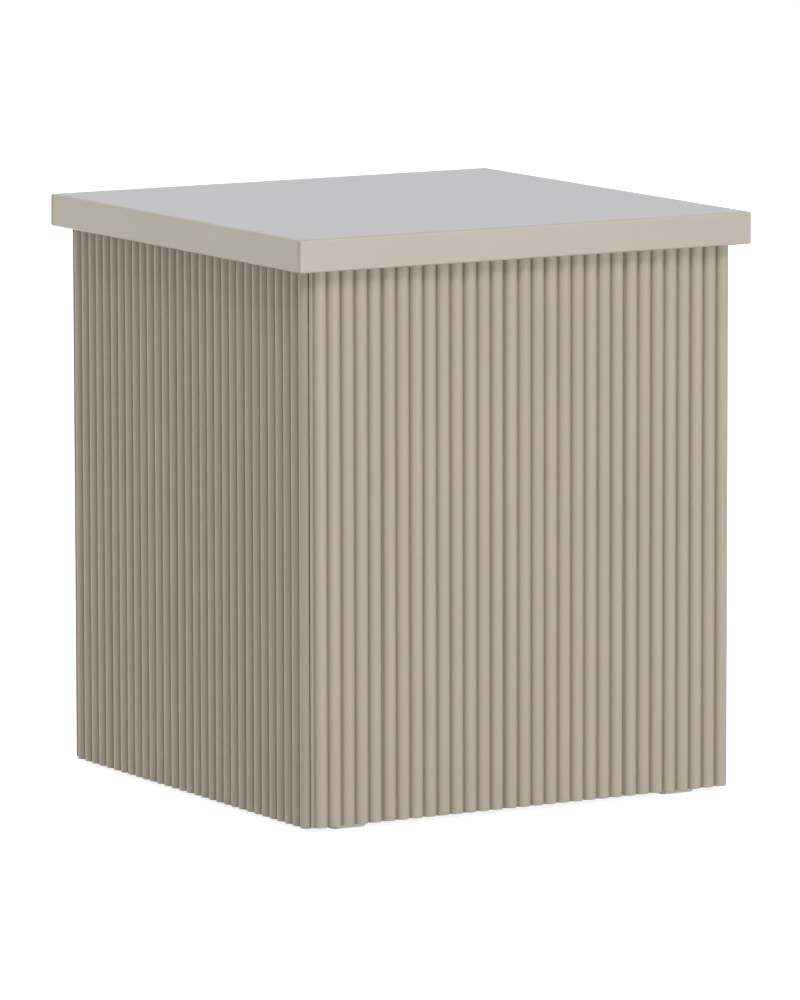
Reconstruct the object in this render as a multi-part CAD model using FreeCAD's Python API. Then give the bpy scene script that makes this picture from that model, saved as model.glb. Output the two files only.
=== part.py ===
import FreeCAD, Part

import math
import os

# Square patio side table: a folded sheet-aluminium top on a welded tube frame,
# clad on four sides with upright fluted planks, standing on levelling feet.
# Millimetres. +Z is up, the origin is on the floor under the middle of the top,
# and the front face looks along -Y.

# Overall
table_width = 450.0            # square top, edge to edge
table_height = 511.0           # floor to top surface
floor_gap = 4.3                # floor to the planks' lower ends
top_overhang = 10.1            # top edge to the crest of the ribs

# Folded top
sheet = 2.5                    # sheet thickness
edge_height = 28.4             # depth of the folded edge
top_bend = 2.0                 # outer radius along the upper edges
lower_ease = 1.0               # chamfer where the edge turns inwards
return_lip = 6.0               # width of the lip below the edge
corner_seam = 0.7              # open seam where two folded edges meet
seam_skin = 1.0                # metal left over the seam at the upper edge

# Fluted planks
rib_radius = 6.6
rib_height = 4.65              # crest above the plank's face
rib_pitch = 13.38
plank_ribs = 9                 # ribs on a plank of full width
first_ribs = 5                 # ribs left on the first plank of a side
joint_extra = 0.75             # pitch gained where two planks meet
joint_gap = 0.4                # open line between two planks
plank_back = 2.0               # flat back of the plank, behind the ribs
rib_skin = 1.3                 # least metal round the hollow of a rib
lap_length = 4.0               # tongue behind the neighbouring plank
lap_clearance = 0.15           # room in front of and beside the tongue
edge_land = 3.4                # flat strip before a side's first rib
mitre_gap = 1.0                # open line at the corners of the base, on the planks' faces
mitre_root = 0.1               # what is left of that line at the planks' backs
mitre_shift = 0.68             # corner line's offset from the diagonal
plank_top_gap = 4.0            # planks' upper ends to the sheet above

# Tube frame
tube = 25.0                    # square tube of the posts and rails
sill_width = 40.0              # flat tube below the front and back
tube_wall = 2.0
sill_height = 16.0             # floor to the underside of the lower rails

# Stiffeners below the top
stiffener_width = 30.0
stiffener_depth = 18.0
stiffener_sheet = 2.0
stiffener_spacing = 140.0

# Levelling feet
foot_setback = 42.4            # plank's back to the foot, along the sill
foot_inset = 21.0              # plank's back to the foot, across the sill
pad_width = 33.0
pad_height = 7.5
pad_corner = 3.0               # cut off the pad's upright corners
pad_ease = 0.6                 # chamfer round the sole
pocket_floor = 2.5             # plastic below the stem
collar_across_flats = 13.0
collar_height = 9.5
thread_diameter = 8.0
stem_top = 36.0
insert_width = 13.0
insert_length = 15.0
insert_flange = 1.2
insert_flange_width = 17.0

# Clearances
turn_clearance = 0.3           # round a part that swivels
thread_clearance = 0.08        # on the radius of a thread

# Worked-out places
top_half = table_width / 2
face_half = top_half - top_overhang - rib_height
frame_half = face_half - plank_back
post_inner = frame_half - tube
edge_bottom = table_height - edge_height
sheet_under = table_height - sheet
plank_top = sheet_under - plank_top_gap
sill_top = sill_height + tube
top_rail_bottom = sheet_under - tube
side_rail_half = frame_half - sill_width
foot_x = frame_half - foot_setback
foot_y = frame_half - foot_inset
arc_depth = rib_radius - rib_height
rib_half = math.sqrt(rib_radius ** 2 - arc_depth ** 2)
hollow_radius = rib_radius - rib_skin
hollow_half = math.sqrt(hollow_radius ** 2 - arc_depth ** 2)
collar_top = pocket_floor + collar_height
overrun = 1.0                  # length by which a cutting tool passes a face

SIDES = (("front", 0), ("right", 90), ("back", 180), ("left", 270))
CORNERS = (("front_left", -1, -1), ("front_right", 1, -1), ("back_right", 1, 1), ("back_left", -1, 1))


def box(x0, x1, y0, y1, z0, z1):
    return Part.makeBox(x1 - x0, y1 - y0, z1 - z0, FreeCAD.Vector(x0, y0, z0))


def block(width, z0, z1):
    """A square block about the Z axis."""
    half = width / 2
    return box(-half, half, -half, half, z0, z1)


def rod(diameter, z0, z1):
    return Part.makeCylinder(diameter / 2, z1 - z0, FreeCAD.Vector(0, 0, z0))


def prism(corners, z0, z1):
    """An upright prism on a closed outline of (x, y) corners."""
    points = [FreeCAD.Vector(x, y, z0) for x, y in corners]
    return Part.Face(Part.makePolygon(points + points[:1])).extrude(FreeCAD.Vector(0, 0, z1 - z0))


def hexagon(across_flats, z0, z1):
    radius = across_flats / math.sqrt(3)
    angles = [math.radians(60 * k) for k in range(6)]
    return prism([(radius * math.cos(a), radius * math.sin(a)) for a in angles], z0, z1)


def turned(shape, degrees):
    """A copy turned about the table's upright axis."""
    copy = shape.copy()
    copy.rotate(FreeCAD.Vector(0, 0, 0), FreeCAD.Vector(0, 0, 1), degrees)
    return copy


def save(name, shape):
    shape.exportStep("parts/" + name + ".step")


def folded_edge_profile():
    """Section of the top without its hollow, looking along X, with both upper bends."""
    low, high, half = edge_bottom, table_height, top_half
    slant = top_bend * (1 - math.sqrt(0.5))
    outline = [
        (-half + top_bend, high), (half - top_bend, high), (half, high - top_bend), (half, low + lower_ease),
        (half - lower_ease, low), (-half + lower_ease, low), (-half, low + lower_ease), (-half, high - top_bend),
    ]
    bends = {1: (half - slant, high - slant), 7: (-half + slant, high - slant)}
    points = [FreeCAD.Vector(0, y, z) for y, z in outline]
    edges = []
    for number, (here, there) in enumerate(zip(points, points[1:] + points[:1])):
        if number in bends:
            edges.append(Part.Arc(here, FreeCAD.Vector(0, *bends[number]), there).toShape())
        else:
            edges.append(Part.makeLine(here, there))
    return Part.Face(Part.Wire(edges))


def top_sheet():
    bar = folded_edge_profile().extrude(FreeCAD.Vector(table_width, 0, 0))
    bar.translate(FreeCAD.Vector(-top_half, 0, 0))
    top = bar.common(turned(bar, 90))
    inner = top_half - sheet
    top = top.cut(block(2 * inner, edge_bottom + sheet, sheet_under))
    top = top.cut(block(2 * (inner - return_lip), edge_bottom - overrun, edge_bottom + 2 * sheet))
    edge_slot = box(-top_half - overrun, -inner, -inner, -inner + corner_seam,
                    edge_bottom - overrun, table_height - seam_skin)
    lip_slot = box(0, (return_lip + overrun) * math.sqrt(2), -corner_seam / 2, corner_seam / 2,
                   edge_bottom - overrun, edge_bottom + sheet)
    lip_slot.rotate(FreeCAD.Vector(0, 0, 0), FreeCAD.Vector(0, 0, 1), 45)
    lip_slot.translate(FreeCAD.Vector(-inner, -inner, 0))
    near = edge_slot.fuse(lip_slot)
    far = near.mirror(FreeCAD.Vector(0, 0, 0), FreeCAD.Vector(0, 1, 0))
    for slot in (near, far):
        top = top.cut(slot)
        top = top.cut(slot.mirror(FreeCAD.Vector(0, 0, 0), FreeCAD.Vector(1, 0, 0)))
    return top


def stiffener(y):
    """A channel below the sheet, open downwards, between the side rails."""
    half = stiffener_width / 2
    web = stiffener_sheet
    low = sheet_under - stiffener_depth
    channel = box(-post_inner, post_inner, y - half, y + half, low, sheet_under)
    hollow = box(-post_inner - overrun, post_inner + overrun, y - half + web, y + half - web,
                 low - overrun, sheet_under - web)
    return channel.cut(hollow)


def corner_post(sign_x, sign_y):
    middle = frame_half - tube / 2
    post = block(tube, sill_top, sheet_under)
    post = post.cut(block(tube - 2 * tube_wall, sill_top - overrun, sheet_under + overrun))
    post.translate(FreeCAD.Vector(sign_x * middle, sign_y * middle, 0))
    return post


def rail(half_length, width, bottom):
    """A tube along the front, behind the planks."""
    front = -frame_half
    back = front + width
    bar = box(-half_length, half_length, front, back, bottom, bottom + tube)
    bore = box(-half_length - overrun, half_length + overrun, front + tube_wall, back - tube_wall,
               bottom + tube_wall, bottom + tube - tube_wall)
    return bar.cut(bore)


def sill():
    """The flat lower tube of the front and back, with a square hole for each foot's insert."""
    bar = rail(frame_half, sill_width, sill_height)
    for x in (-foot_x, foot_x):
        hole = block(insert_width, sill_height - overrun, sill_height + 2 * tube_wall)
        bar = bar.cut(hole.translated(FreeCAD.Vector(x, -foot_y, 0)))
    return bar


def rib_places():
    """The middle of every rib along one side, left to right, in groups of one plank each."""
    first = mitre_end(-1, face_half) + edge_land + rib_half
    last = face_half - rib_half / 2
    planks = [[]]
    place = first
    while place <= last:
        room = first_ribs if len(planks) == 1 else plank_ribs
        if len(planks[-1]) == room:
            planks.append([])
            place += joint_extra
        planks[-1].append(place)
        place += rib_pitch
    return planks


def rib_hollow(middle):
    """Section of the chamber in a rib: half a hexagon with its corners one skin inside the arc."""
    shoulder = hollow_radius / 2
    crown = hollow_radius * math.sqrt(0.75) - arc_depth
    outline = [(-hollow_half, 0), (-shoulder, crown), (shoulder, crown), (hollow_half, 0)]
    return [(middle + x, -face_half - y) for x, y in outline]


def plank_section(ribs, first, last):
    """Section of one plank on the front side, with its laps, ribs and square outer ends."""
    face, back = -face_half, -frame_half
    lap = (face + back) / 2
    joint_edge = (rib_pitch + joint_extra - joint_gap) / 2
    left = -face_half - rib_height if first else ribs[0] - joint_edge
    right = face_half + rib_height if last else ribs[-1] + joint_edge

    if first:
        outline = [(left, back), (left, face)]
    else:
        tongue = left - joint_gap - lap_length
        outline = [(tongue, back), (tongue, lap), (left, lap), (left, face)]
    start = len(outline)
    for middle in ribs:
        outline += [(middle - rib_half, face), (middle + rib_half, face)]
    if last:
        outline += [(right, face), (right, back)]
    else:
        recess = right - lap_length - lap_clearance
        rebate = lap - lap_clearance
        outline += [(right, face), (right, rebate), (recess, rebate), (recess, back)]

    points = [FreeCAD.Vector(x, y, 0) for x, y in outline]
    edges = []
    for number, (here, there) in enumerate(zip(points, points[1:] + points[:1])):
        rib, gap_after = divmod(number - start, 2)
        if 0 <= rib < len(ribs) and not gap_after:
            crest = FreeCAD.Vector(ribs[rib], face - rib_height, 0)
            edges.append(Part.Arc(here, crest, there).toShape())
        else:
            edges.append(Part.makeLine(here, there))
    return Part.Face(Part.Wire(edges))


def mitre_end(side, depth):
    """Where a side's planks end at one corner, at a distance from the middle of the table."""
    opening = mitre_root + (mitre_gap - mitre_root) * (depth - frame_half) / plank_back
    return side * depth + (mitre_shift - side * opening / 2) * math.sqrt(2)


def beyond_mitre(side):
    """The wedge beyond a corner line, which runs near 45 degrees and lies off the diagonal."""
    deep = frame_half - plank_back
    high = face_half + 2 * rib_height
    far = side * 2 * face_half
    return prism([(mitre_end(side, deep), -deep), (mitre_end(side, high), -high), (far, -high), (far, -deep)],
                 floor_gap - overrun, plank_top + overrun)


def plank(number):
    ribs = PLANKS[number]
    first, last = number == 0, number == len(PLANKS) - 1
    body = plank_section(ribs, first, last).extrude(FreeCAD.Vector(0, 0, plank_top - floor_gap))
    body.translate(FreeCAD.Vector(0, 0, floor_gap))
    if first:
        body = body.cut(beyond_mitre(-1))
    if last:
        body = body.cut(beyond_mitre(1))
    for middle in ribs:
        if middle + hollow_half + rib_skin / 2 < mitre_end(1, face_half):
            body = body.cut(prism(rib_hollow(middle), floor_gap - overrun, plank_top + overrun))
    return body


def foot_pad():
    """A square pad with a pocket in which the stem's collar is free to turn."""
    half = pad_width / 2
    cut = half - pad_corner
    outline = [(-half, -cut), (-cut, -half), (cut, -half), (half, -cut),
               (half, cut), (cut, half), (-cut, half), (-half, cut)]
    pad = prism(outline, 0, pad_height)
    sole = [edge for edge in pad.Edges if edge.BoundBox.ZMax < pad_ease]
    pad = pad.makeChamfer(pad_ease, sole)
    pocket = 2 * (collar_across_flats / math.sqrt(3) + turn_clearance)
    return pad.cut(block(pocket, pocket_floor, pad_height + overrun))


def foot_stem():
    stem = hexagon(collar_across_flats, pocket_floor, collar_top)
    return stem.fuse(rod(thread_diameter, collar_top, stem_top)).removeSplitter()


def foot_insert():
    insert = block(insert_width, sill_height, sill_height + insert_length)
    insert = insert.fuse(block(insert_flange_width, sill_height - insert_flange, sill_height)).removeSplitter()
    bore = rod(thread_diameter + 2 * thread_clearance, sill_height - 2 * insert_flange,
               sill_height + insert_length + overrun)
    return insert.cut(bore)


PLANKS = rib_places()


def build():
    os.makedirs("parts", exist_ok=True)

    save("top_sheet", top_sheet())
    for name, side in (("front", -1), ("back", 1)):
        save("top_stiffener_" + name, stiffener(side * stiffener_spacing / 2))

    lower_rails = {"front": sill(), "right": rail(side_rail_half, tube, sill_height)}
    lower_rails["back"] = lower_rails["front"]
    lower_rails["left"] = lower_rails["right"]
    upper_rail = rail(post_inner, tube, top_rail_bottom)
    planks = [plank(number) for number in range(len(PLANKS))]
    for name, angle in SIDES:
        save("bottom_rail_" + name, turned(lower_rails[name], angle))
        save("top_rail_" + name, turned(upper_rail, angle))
        for number, body in enumerate(planks):
            save(name + "_plank_" + str(number + 1), turned(body, angle))

    pad, stem, insert = foot_pad(), foot_stem(), foot_insert()
    inserts = []
    for name, sign_x, sign_y in CORNERS:
        place = FreeCAD.Vector(sign_x * foot_x, sign_y * foot_y, 0)
        save("corner_post_" + name, corner_post(sign_x, sign_y))
        save("foot_pad_" + name, pad.translated(place))
        save("foot_stem_" + name, stem.translated(place))
        inserts.append(insert.translated(place))
    save("foot_inserts", Part.makeCompound(inserts))


build()
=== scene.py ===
import math

import bmesh
import bpy
from mathutils import Matrix, Vector


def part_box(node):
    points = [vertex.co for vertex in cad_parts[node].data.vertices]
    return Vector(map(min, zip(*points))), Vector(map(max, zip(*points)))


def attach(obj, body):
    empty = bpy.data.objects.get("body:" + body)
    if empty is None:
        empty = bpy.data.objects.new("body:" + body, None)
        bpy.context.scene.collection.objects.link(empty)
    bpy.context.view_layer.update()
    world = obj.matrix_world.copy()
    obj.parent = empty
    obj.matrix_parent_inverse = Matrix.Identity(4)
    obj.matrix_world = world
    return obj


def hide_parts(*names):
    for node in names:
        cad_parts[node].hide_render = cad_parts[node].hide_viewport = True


# Square patio side table of powder-coated aluminium: a folded top over a box of fluted planks.
# Metres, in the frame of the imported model: +Z up, front face towards -Y.

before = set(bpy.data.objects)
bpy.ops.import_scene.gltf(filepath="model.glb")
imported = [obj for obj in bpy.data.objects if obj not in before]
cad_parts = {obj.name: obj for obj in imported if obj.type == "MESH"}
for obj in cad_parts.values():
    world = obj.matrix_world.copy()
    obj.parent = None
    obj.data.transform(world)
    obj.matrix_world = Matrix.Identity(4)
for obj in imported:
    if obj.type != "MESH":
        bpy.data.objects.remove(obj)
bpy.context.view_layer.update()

MM = 0.001
UP = Vector((0, 0, 1))
CORNERS = ("front_left", "front_right", "back_right", "back_left")

# Camera, from the edges of the table in the 800 x 1000 photograph
IMAGE_HEIGHT_PX = 1000
FOCAL_PX = 8149.6
CAMERA_PLACE = Vector((-3.5857, -6.1643, 1.2517))
CAMERA_YAW = 30.203            # degrees from +Y towards +X
CAMERA_PITCH = 8.021           # degrees below the horizon
CAMERA_ROLL = 0.109            # degrees
CAMERA_REACH = 200             # furthest point that it shows
SENSOR_MM = 36.0

# Colours, as they are seen under white light; the paler ones go on edges, and over folds as a
# painted highlight
SHEET_TAUPE = "#BDB4A8"
SHEET_EDGE_AND_HIGHLIGHT = "#CBC4BA"
FLUTE_TAUPE = "#B8AF9E"
FLUTE_EDGE_AND_HIGHLIGHT = "#C9C0AD"
PAD_WHITE = "#F1EFE9"
ZINC_GREY = "#B4B5B2"
STUDIO_WHITE = "#FFFFFF"
STUDIO_COOL = "#E8F0FE"
STUDIO_WARM = "#FFFAEE"

# Flutes of the planks
CREST = 214.9 * MM             # table's axis to the crest of a rib
FLUTE_DEPTH = 4.65 * MM

# Powder coat
CREST_BAND = 1.2 * MM          # top of a rib, which keeps the full tone
VALLEY_PAINTED_SHADE = 0.78             # share of the tone between two ribs, a painted shade
LINE_SHADE_DEPTH = 1.2 * MM          # depth into the line between two planks over which the painted shade deepens
LINE_PAINTED_SHADE = 0.15               # share of the tone there, a painted shade
EDGE_RADIUS = 0.5 * MM         # to which the coat rounds off a sharp edge
EDGE_PALENESS = 0.5            # share of the paler colour on an edge
FOLD_PAINTED_HIGHLIGHT = 0.6            # share of the paler colour over a fold, a painted highlight
PEEL_DEPTH = 0.05 * MM         # orange peel

# Levelling stems, whose threads are cut here
THREAD_PITCH = 1.25 * MM
THREAD_DEPTH = 0.65 * MM
THREAD_STEPS = 32              # facets round a stem
THREAD_ROWS = 4                # rings of points to one pitch
COLLAR_SIDES = 6               # hexagon for the spanner

# Weld beads inside the base
BEAD_LEG = 4.0 * MM            # from the corner to the bead's edge
BEAD_DIP = 0.18                # share of the leg that a ripple takes away
BEAD_END = 0.6                 # share of the leg at both ends
BEAD_ROOT = 0.6 * MM           # depth to which the bead has melted in
BEAD_RIPPLE = 1.8 * MM         # one ripple of the bead
BEAD_ROWS = 3                  # rings of points to one ripple
BEAD_STEPS = 5                 # facets across the bead

# Studio
FLOOR_HALF = 40.0              # middle of the floor to its edge
FLOOR_GLOW = 0.84              # what the lit paper lacks to be white to the camera
SOFT_LIGHT = 0.2               # light from all round
WALL_LIGHT = 1.0               # walls in a reflection
BACKDROP_LIGHT = 1.0           # white behind the table
TABLE_MIDDLE = (0, 0, 0.3)
TABLE_FOOT = (0, 0, 0.2)

# Each softbox: place, point that it looks at, width, height, watts, tint, and whether the coat
# mirrors it. One that isn't mirrored stands behind a wide diffuser, too even for a highlight.
SOFTBOXES = {
    "front_softbox": ((-0.93, -4.40, 5.66), TABLE_MIDDLE, 2.4, 2.4, 199, STUDIO_WHITE, True),
    "low_softbox": ((1.45, -6.83, 0.75), TABLE_FOOT, 3.6, 1.2, 138, STUDIO_WHITE, True),
    "back_left_softbox": ((-3.92, 5.60, 1.60), TABLE_MIDDLE, 3.6, 2.4, 95, STUDIO_WARM, False),
    "high_left_softbox": ((-3.30, 4.75, 4.25), TABLE_MIDDLE, 2.4, 2.4, 99, STUDIO_WARM, False),
    "right_softbox": ((6.4, 2.3, 1.6), TABLE_MIDDLE, 3.6, 3.6, 110, STUDIO_WHITE, True),
}

# Most of a noise's values lie in this span
NOISE = {"From Min": 0.3, "From Max": 0.7}


def linear(hex_colour):
    """An sRGB hex colour as linear red, green, blue and alpha."""
    channels = [int(hex_colour[k:k + 2], 16) / 255 for k in (1, 3, 5)]
    return [c / 12.92 if c <= 0.04045 else ((c + 0.055) / 1.055) ** 2.4 for c in channels] + [1.0]


def add(tree, kind, links=None, **settings):
    """A shader node with its settings. links gives an input, by name or number, a value or a
    node's output."""
    node = tree.nodes.new(kind)
    for name, value in settings.items():
        setattr(node, name, value)
    for name, value in (links or {}).items():
        if isinstance(value, bpy.types.NodeSocket):
            tree.links.new(value, node.inputs[name])
        else:
            node.inputs[name].default_value = value
    return node


def new_material(name):
    """A material with no nodes yet, and its tree."""
    material = bpy.data.materials.new(name)
    material.use_nodes = True
    material.node_tree.nodes.clear()
    return material, material.node_tree


def per_metre(millimetres):
    """The scale of a noise whose lumps are that far apart."""
    return 1 / (millimetres * MM)


def powder_coat(name, taupe, edge_and_highlight_taupe, smooth, dull, gloss, face=None):
    """Polyester powder coat on aluminium, sprayed and baked: an even satin taupe with a fine
    speckle and faint orange peel, paler where it draws back from edges, and paler over folds as a
    painted highlight. On flutes it is darker down to the planks' face, which is that far from the
    table's axis, as painted shade between the ribs, and much darker past that face, as painted
    shade in the lines between planks and on the planks' backs."""
    material, tree = new_material(name)
    place = add(tree, "ShaderNodeTexCoord").outputs["Object"]
    cloud = add(tree, "ShaderNodeTexNoise",
                {"Vector": place, "Scale": per_metre(160), "Detail": 2.0})
    # The grains of powder, about 0.1 mm, are too fine to show, so the speckle is drawn coarser
    speckle = add(tree, "ShaderNodeTexNoise",
                  {"Vector": place, "Scale": per_metre(1.1), "Detail": 3.0})
    peel = add(tree, "ShaderNodeTexNoise",
               {"Vector": place, "Scale": per_metre(2.2), "Detail": 1.5})

    drift = add(tree, "ShaderNodeMapRange",
                {"Value": cloud.outputs["Fac"], **NOISE, "To Min": 0.975, "To Max": 1.02})
    grain = add(tree, "ShaderNodeMapRange",
                {"Value": speckle.outputs["Fac"], **NOISE, "To Min": 0.98, "To Max": 1.02})
    tone = add(tree, "ShaderNodeMath", {0: drift.outputs[0], 1: grain.outputs[0]},
               operation="MULTIPLY")
    if face:
        off_axis = add(tree, "ShaderNodeVectorMath", {0: place}, operation="ABSOLUTE").outputs[0]
        axes = add(tree, "ShaderNodeSeparateXYZ", {0: off_axis})
        reach = add(tree, "ShaderNodeMath", {0: axes.outputs["X"], 1: axes.outputs["Y"]},
                    operation="MAXIMUM")
        # Painted shade: darker from the ribs' crests down to the planks' face, and much darker
        # past it, in the lines between planks and on the planks' backs
        for start, end, least in ((CREST - CREST_BAND, face, VALLEY_PAINTED_SHADE),
                                  (face, face - LINE_SHADE_DEPTH, LINE_PAINTED_SHADE)):
            painted_shade = add(tree, "ShaderNodeMapRange",
                       {"Value": reach.outputs[0], "From Min": start, "From Max": end,
                        "To Min": 1.0, "To Max": least}, interpolation_type="SMOOTHSTEP")
            tone = add(tree, "ShaderNodeMath", {0: tone.outputs[0], 1: painted_shade.outputs[0]},
                       operation="MULTIPLY")

    # An edge is where the rounded normal leaves the flat one
    rounded = add(tree, "ShaderNodeBevel", {"Radius": EDGE_RADIUS}, samples=6)
    flat = add(tree, "ShaderNodeNewGeometry").outputs["True Normal"]
    facing = add(tree, "ShaderNodeVectorMath", {0: rounded.outputs[0], 1: flat},
                 operation="DOT_PRODUCT")
    edge = add(tree, "ShaderNodeMapRange",
               {"Value": facing.outputs["Value"], "From Min": 0.97, "From Max": 0.75,
                "To Min": 0.0, "To Max": EDGE_PALENESS})
    # A fold is where the sheet is neither level nor upright; the paler colour there is a painted
    # highlight
    lean = add(tree, "ShaderNodeSeparateXYZ", {0: flat}).outputs["Z"]
    off_level = add(tree, "ShaderNodeMapRange",
                    {"Value": lean, "From Min": 1.0, "From Max": 0.95,
                     "To Min": 0.0, "To Max": FOLD_PAINTED_HIGHLIGHT})
    off_upright = add(tree, "ShaderNodeMapRange",
                      {"Value": lean, "From Min": 0.0, "From Max": 0.25,
                       "To Min": 0.0, "To Max": FOLD_PAINTED_HIGHLIGHT})
    fold_highlight = add(tree, "ShaderNodeMath", {0: off_level.outputs[0], 1: off_upright.outputs[0]},
               operation="MINIMUM")
    pale_edge_or_fold_highlight = add(tree, "ShaderNodeMath", {0: edge.outputs[0], 1: fold_highlight.outputs[0]},
               operation="MAXIMUM")
    # The paler colour goes on edges where the coat draws back, and over folds as a painted
    # highlight
    paint = add(tree, "ShaderNodeMix",
                {"Factor": pale_edge_or_fold_highlight.outputs[0], "A": linear(taupe), "B": linear(edge_and_highlight_taupe)},
                data_type="RGBA")
    shade = add(tree, "ShaderNodeHueSaturation",
                {"Color": paint.outputs["Result"], "Value": tone.outputs[0]})

    rough = add(tree, "ShaderNodeMapRange",
                {"Value": speckle.outputs["Fac"], **NOISE, "To Min": smooth, "To Max": dull})
    bump = add(tree, "ShaderNodeBump",
               {"Height": peel.outputs["Fac"], "Distance": PEEL_DEPTH, "Strength": 0.25,
                "Normal": rounded.outputs[0]})
    shader = add(tree, "ShaderNodeBsdfPrincipled",
                 {"Base Color": shade.outputs[0], "Roughness": rough.outputs[0],
                  "Normal": bump.outputs[0], "IOR": 1.5, "Specular IOR Level": gloss})
    add(tree, "ShaderNodeOutputMaterial", {"Surface": shader.outputs[0]})
    return material


def moulded_polyethylene():
    """Injection-moulded polyethylene: milky, a little translucent, with a soft sheen and faint
    flow marks."""
    material, tree = new_material("white_polyethylene_moulded")
    place = add(tree, "ShaderNodeTexCoord").outputs["Object"]
    flow = add(tree, "ShaderNodeTexNoise",
               {"Vector": place, "Scale": per_metre(9), "Detail": 3.0, "Distortion": 1.2})
    # The mould's own grain, about 0.1 mm, is too fine to show, so it is drawn coarser
    grain = add(tree, "ShaderNodeTexNoise",
                {"Vector": place, "Scale": per_metre(0.6), "Detail": 2.0})
    tone = add(tree, "ShaderNodeMapRange",
               {"Value": flow.outputs["Fac"], **NOISE, "To Min": 0.95, "To Max": 1.03})
    shade = add(tree, "ShaderNodeHueSaturation",
                {"Color": linear(PAD_WHITE), "Value": tone.outputs[0]})
    rough = add(tree, "ShaderNodeMapRange",
                {"Value": grain.outputs["Fac"], **NOISE, "To Min": 0.42, "To Max": 0.56})
    bump = add(tree, "ShaderNodeBump",
               {"Height": grain.outputs["Fac"], "Distance": 0.03 * MM, "Strength": 0.4})
    shader = add(tree, "ShaderNodeBsdfPrincipled",
                 {"Base Color": shade.outputs[0], "Roughness": rough.outputs[0],
                  "Normal": bump.outputs[0], "IOR": 1.52,
                  "Subsurface Weight": 0.15, "Subsurface Scale": 1.5 * MM})
    add(tree, "ShaderNodeOutputMaterial", {"Surface": shader.outputs[0]})
    return material


def zinc_plated_steel():
    """Turned steel with a bright zinc plating: cool grey, with fine turning lines and a cloudy
    passivation."""
    material, tree = new_material("zinc_plated_steel_turned")
    place = add(tree, "ShaderNodeTexCoord").outputs["Object"]
    cloud = add(tree, "ShaderNodeTexNoise",
                {"Vector": place, "Scale": per_metre(5), "Detail": 3.0})
    # Lumps of 3 mm, pressed flat along the stem to turning lines of a quarter of a millimetre
    squeezed = add(tree, "ShaderNodeMapping", {"Vector": place, "Scale": (1.0, 1.0, 12.0)})
    lines = add(tree, "ShaderNodeTexNoise",
                {"Vector": squeezed.outputs[0], "Scale": per_metre(3), "Detail": 2.0})
    tone = add(tree, "ShaderNodeMapRange",
               {"Value": cloud.outputs["Fac"], **NOISE, "To Min": 0.88, "To Max": 1.06})
    shade = add(tree, "ShaderNodeHueSaturation",
                {"Color": linear(ZINC_GREY), "Value": tone.outputs[0]})
    rough = add(tree, "ShaderNodeMapRange",
                {"Value": lines.outputs["Fac"], **NOISE, "To Min": 0.26, "To Max": 0.42})
    bump = add(tree, "ShaderNodeBump",
               {"Height": lines.outputs["Fac"], "Distance": 0.02 * MM, "Strength": 0.4})
    shader = add(tree, "ShaderNodeBsdfPrincipled",
                 {"Base Color": shade.outputs[0], "Roughness": rough.outputs[0],
                  "Normal": bump.outputs[0], "Metallic": 1.0})
    add(tree, "ShaderNodeOutputMaterial", {"Surface": shader.outputs[0]})
    return material


def dress(node, material):
    """Gives a CAD node its finish."""
    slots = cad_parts[node].data.materials
    slots.clear()
    slots.append(material)


def new_object(name, shape, material):
    """A finished shape as an object of the scene."""
    mesh = bpy.data.meshes.new(name)
    shape.normal_update()
    shape.to_mesh(mesh)
    shape.free()
    mesh.materials.append(material)
    item = bpy.data.objects.new(name, mesh)
    bpy.context.scene.collection.objects.link(item)
    return item


def new_piece(name, shape, material, body):
    """A piece that moves with a body of the table."""
    piece = new_object(name, shape, material)
    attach(piece, body)
    return piece


def bridge(shape, here, there):
    """A band of faces from one ring of points to the next."""
    for k in range(len(here)):
        after = (k + 1) % len(here)
        shape.faces.new((here[k], here[after], there[after], there[k]))


def threaded_stem(corner, material):
    """A levelling stem with its hexagon collar and a rolled thread, in place of the plain one."""
    node = "foot_stem_" + corner
    low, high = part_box(node)
    middle = (low + high) / 2
    flats = (high.y - low.y) / 2
    points = [vertex.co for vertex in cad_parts[node].data.vertices]
    collar_top = max(p.z for p in points if (p.xy - middle.xy).length > flats)
    crest = min((p.xy - middle.xy).length for p in points if p.z > high.z - MM)
    shape = bmesh.new()

    def ring(radius, z, count):
        angles = [2 * math.pi * k / count for k in range(count)]
        return [shape.verts.new((middle.x + radius(a) * math.cos(a),
                                 middle.y + radius(a) * math.sin(a), z)) for a in angles]

    def collar(angle):
        """Half the hexagon's width across its corners."""
        return flats * 2 / math.sqrt(3)

    def groove(z):
        """The thread's radius round the stem at one height, run out at both ends."""
        run_out = min(1.0, (high.z - z) / THREAD_PITCH, (z - collar_top) / THREAD_PITCH)

        def radius(angle):
            phase = (z / THREAD_PITCH - angle / (2 * math.pi)) % 1.0
            return crest - THREAD_DEPTH * max(0.0, run_out) * (1 - abs(2 * phase - 1))
        return radius

    rows = int((high.z - collar_top) / THREAD_PITCH * THREAD_ROWS)
    heights = [collar_top + (high.z - collar_top) * k / rows for k in range(rows + 1)]
    hexagon = [ring(collar, z, COLLAR_SIDES) for z in (low.z, collar_top)]
    thread = [ring(groove(z), z, THREAD_STEPS) for z in heights]
    for rings in (hexagon, thread):
        for lower, upper in zip(rings, rings[1:]):
            bridge(shape, lower, upper)
        shape.faces.new(reversed(rings[0]))
        shape.faces.new(rings[-1])
    stem = new_piece("threaded_" + node, shape, material, "stem_" + corner)
    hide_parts(node)


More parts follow.
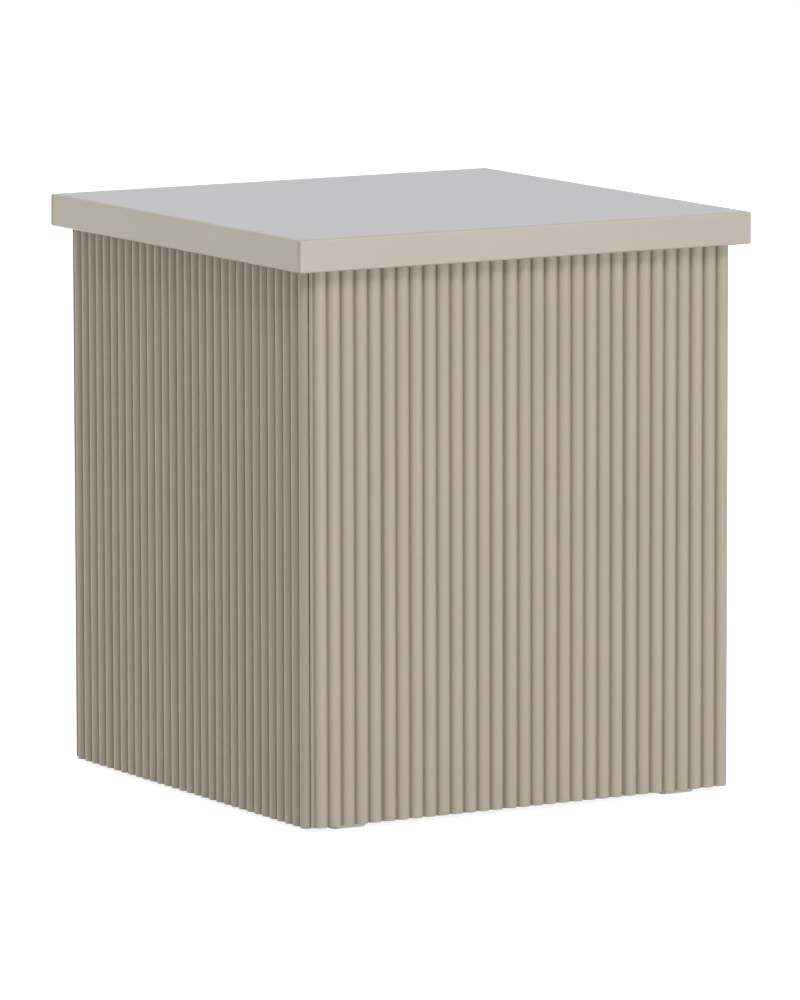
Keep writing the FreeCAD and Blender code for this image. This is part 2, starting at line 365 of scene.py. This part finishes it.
def weld_bead(shape, start, run, leg_a, leg_b):
    """A fillet weld with overlapping ripples along a run, in the corner of two faces that its legs
    lie on."""
    count = round(run.length / BEAD_RIPPLE * BEAD_ROWS)
    turns = [math.pi / 2 * step / BEAD_STEPS for step in range(BEAD_STEPS + 1)]
    rings = []
    for row in range(count + 1):
        swell = BEAD_LEG * (1 - BEAD_DIP + BEAD_DIP * (row % BEAD_ROWS) / (BEAD_ROWS - 1))
        if row in (0, count):
            swell *= BEAD_END
        section = [(-BEAD_ROOT, -BEAD_ROOT), (swell, -BEAD_ROOT)]
        section += [(swell * math.cos(turn), swell * math.sin(turn)) for turn in turns]
        section += [(-BEAD_ROOT, swell)]
        middle = start + run * row / count
        rings.append([shape.verts.new(middle + leg_a * a + leg_b * b) for a, b in section])
    for here, there in zip(rings, rings[1:]):
        bridge(shape, here, there)
    shape.faces.new(rings[0])
    shape.faces.new(rings[-1])


def frame_welds(material):
    """The welds at each corner of the frame: post on sill, rails to post and sill, and the planks'
    mitre below."""
    shape = bmesh.new()
    plank_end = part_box("front_plank_1")[0].z
    sill_low, sill_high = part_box("bottom_rail_front")
    rail_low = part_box("top_rail_front")[0].z
    for corner in CORNERS:
        low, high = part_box("corner_post_" + corner)
        across = Vector((-1 if low.x > 0 else 1, 0, 0))
        inward = Vector((0, -1 if low.y > 0 else 1, 0))
        outer = Vector((min(low.x * across.x, high.x * across.x) * across.x,
                        min(low.y * inward.y, high.y * inward.y) * inward.y, 0))
        width = high.x - low.x
        inner = outer + (across + inward) * width
        sill_side = Vector((inner.x, sill_high.y * inward.y, sill_low.z))
        for z, rise in ((sill_high.z, UP), (rail_low, -UP)):
            weld_bead(shape, Vector((inner.x, outer.y, z)) + inward * MM, inward * (width - MM),
                      across, rise)
            weld_bead(shape, Vector((outer.x, inner.y, z)) + across * MM, across * (width - MM),
                      inward, rise)
        weld_bead(shape, sill_side + UP * MM, UP * (sill_high.z - sill_low.z - 2 * MM),
                  across, inward)
        weld_bead(shape, outer + UP * (plank_end + MM), UP * (sill_low.z - plank_end - MM),
                  across, inward)
    bmesh.ops.recalc_face_normals(shape, faces=shape.faces)
    new_piece("frame_welds", shape, material, "table")


def studio_floor():
    """A wide white paper floor, which stays white to the camera except in the table's shadow."""
    material, tree = new_material("white_paper_floor")
    place = add(tree, "ShaderNodeTexCoord").outputs["Object"]
    # Paper fibres are too fine to show, so they are drawn as a faint cloud
    fibre = add(tree, "ShaderNodeTexNoise",
                {"Vector": place, "Scale": per_metre(40), "Detail": 3.0})
    tone = add(tree, "ShaderNodeMapRange",
               {"Value": fibre.outputs["Fac"], **NOISE, "To Min": 0.86, "To Max": 0.88})
    paper = add(tree, "ShaderNodeBsdfDiffuse", {"Color": tone.outputs[0]})
    glow = add(tree, "ShaderNodeEmission",
               {"Color": linear(STUDIO_WHITE), "Strength": FLOOR_GLOW})
    lit = add(tree, "ShaderNodeAddShader", {0: paper.outputs[0], 1: glow.outputs[0]})
    path = add(tree, "ShaderNodeLightPath")
    seen = add(tree, "ShaderNodeMath",
               {0: path.outputs["Is Camera Ray"], 1: path.outputs["Is Glossy Ray"]},
               operation="MAXIMUM")
    both = add(tree, "ShaderNodeMixShader",
               {0: seen.outputs[0], 1: paper.outputs[0], 2: lit.outputs[0]})
    add(tree, "ShaderNodeOutputMaterial", {"Surface": both.outputs[0]})

    shape = bmesh.new()
    shape.faces.new([shape.verts.new((x * FLOOR_HALF, y * FLOOR_HALF, 0))
                     for x, y in ((-1, -1), (1, -1), (1, 1), (-1, 1))])
    floor = new_object("studio_floor", shape, material)


def studio_world():
    """Even soft light from all round. The camera sees it white, and a reflection sees the cool
    white of the walls."""
    world = bpy.data.worlds.new("studio_world")
    world.use_nodes = True
    tree = world.node_tree
    tree.nodes.clear()
    soft = add(tree, "ShaderNodeBackground",
               {"Color": linear(STUDIO_WHITE), "Strength": SOFT_LIGHT})
    walls = add(tree, "ShaderNodeBackground",
                {"Color": linear(STUDIO_COOL), "Strength": WALL_LIGHT})
    white = add(tree, "ShaderNodeBackground",
                {"Color": linear(STUDIO_WHITE), "Strength": BACKDROP_LIGHT})
    path = add(tree, "ShaderNodeLightPath")
    mirrored = add(tree, "ShaderNodeMixShader",
                   {0: path.outputs["Is Glossy Ray"], 1: soft.outputs[0], 2: walls.outputs[0]})
    seen = add(tree, "ShaderNodeMath",
               {0: path.outputs["Is Camera Ray"], 1: path.outputs["Is Transmission Ray"]},
               operation="MAXIMUM")
    both = add(tree, "ShaderNodeMixShader",
               {0: seen.outputs[0], 1: mirrored.outputs[0], 2: white.outputs[0]})
    add(tree, "ShaderNodeOutputWorld", {"Surface": both.outputs[0]})
    bpy.context.scene.world = world


def softbox(name, place, target, wide, high, watts, tint, mirrored):
    """A softbox that looks at a point."""
    light = bpy.data.lights.new(name, "AREA")
    light.shape = "RECTANGLE"
    light.size = wide
    light.size_y = high
    light.energy = watts
    light.color = linear(tint)[:3]
    lamp = bpy.data.objects.new(name, light)
    lamp.location = place
    aim = Vector(target) - Vector(place)
    lamp.rotation_euler = aim.to_track_quat("-Z", "Y").to_euler()
    lamp.visible_glossy = mirrored
    bpy.context.scene.collection.objects.link(lamp)


def photograph_camera():
    """The camera where the photograph was taken from."""
    yaw, pitch, roll = (math.radians(a) for a in (CAMERA_YAW, CAMERA_PITCH, CAMERA_ROLL))
    ahead = Vector((math.cos(pitch) * math.sin(yaw), math.cos(pitch) * math.cos(yaw),
                    -math.sin(pitch)))
    right = Vector((math.cos(yaw), -math.sin(yaw), 0))
    above = right.cross(ahead)
    across = math.cos(roll) * right - math.sin(roll) * above
    upward = math.sin(roll) * right + math.cos(roll) * above
    lens = bpy.data.cameras.new("photograph_camera")
    lens.sensor_width = SENSOR_MM
    lens.lens = FOCAL_PX * SENSOR_MM / IMAGE_HEIGHT_PX
    lens.clip_end = CAMERA_REACH
    camera = bpy.data.objects.new("photograph_camera", lens)
    axes = Matrix((across, upward, -ahead)).transposed().to_4x4()
    camera.matrix_world = Matrix.Translation(CAMERA_PLACE) @ axes
    bpy.context.scene.collection.objects.link(camera)
    bpy.context.scene.camera = camera


sheet_coat = powder_coat("taupe_powder_coat_on_sheet", SHEET_TAUPE, SHEET_EDGE_AND_HIGHLIGHT,
                         smooth=0.235, dull=0.265, gloss=0.5)
flute_coat = powder_coat("taupe_powder_coat_on_flutes", FLUTE_TAUPE, FLUTE_EDGE_AND_HIGHLIGHT,
                         smooth=0.40, dull=0.50, gloss=0.3, face=CREST - FLUTE_DEPTH)
pad_plastic = moulded_polyethylene()
zinc = zinc_plated_steel()

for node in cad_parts:
    if node.startswith("foot_pad"):
        dress(node, pad_plastic)
    elif node.startswith("foot_"):
        dress(node, zinc)
    elif "_plank_" in node:
        dress(node, flute_coat)
    else:
        dress(node, sheet_coat)

for corner in CORNERS:
    threaded_stem(corner, zinc)
frame_welds(sheet_coat)

studio_floor()
studio_world()
for name, settings in SOFTBOXES.items():
    softbox(name, *settings)
photograph_camera()
bpy.context.scene.view_settings.view_transform = "Standard"
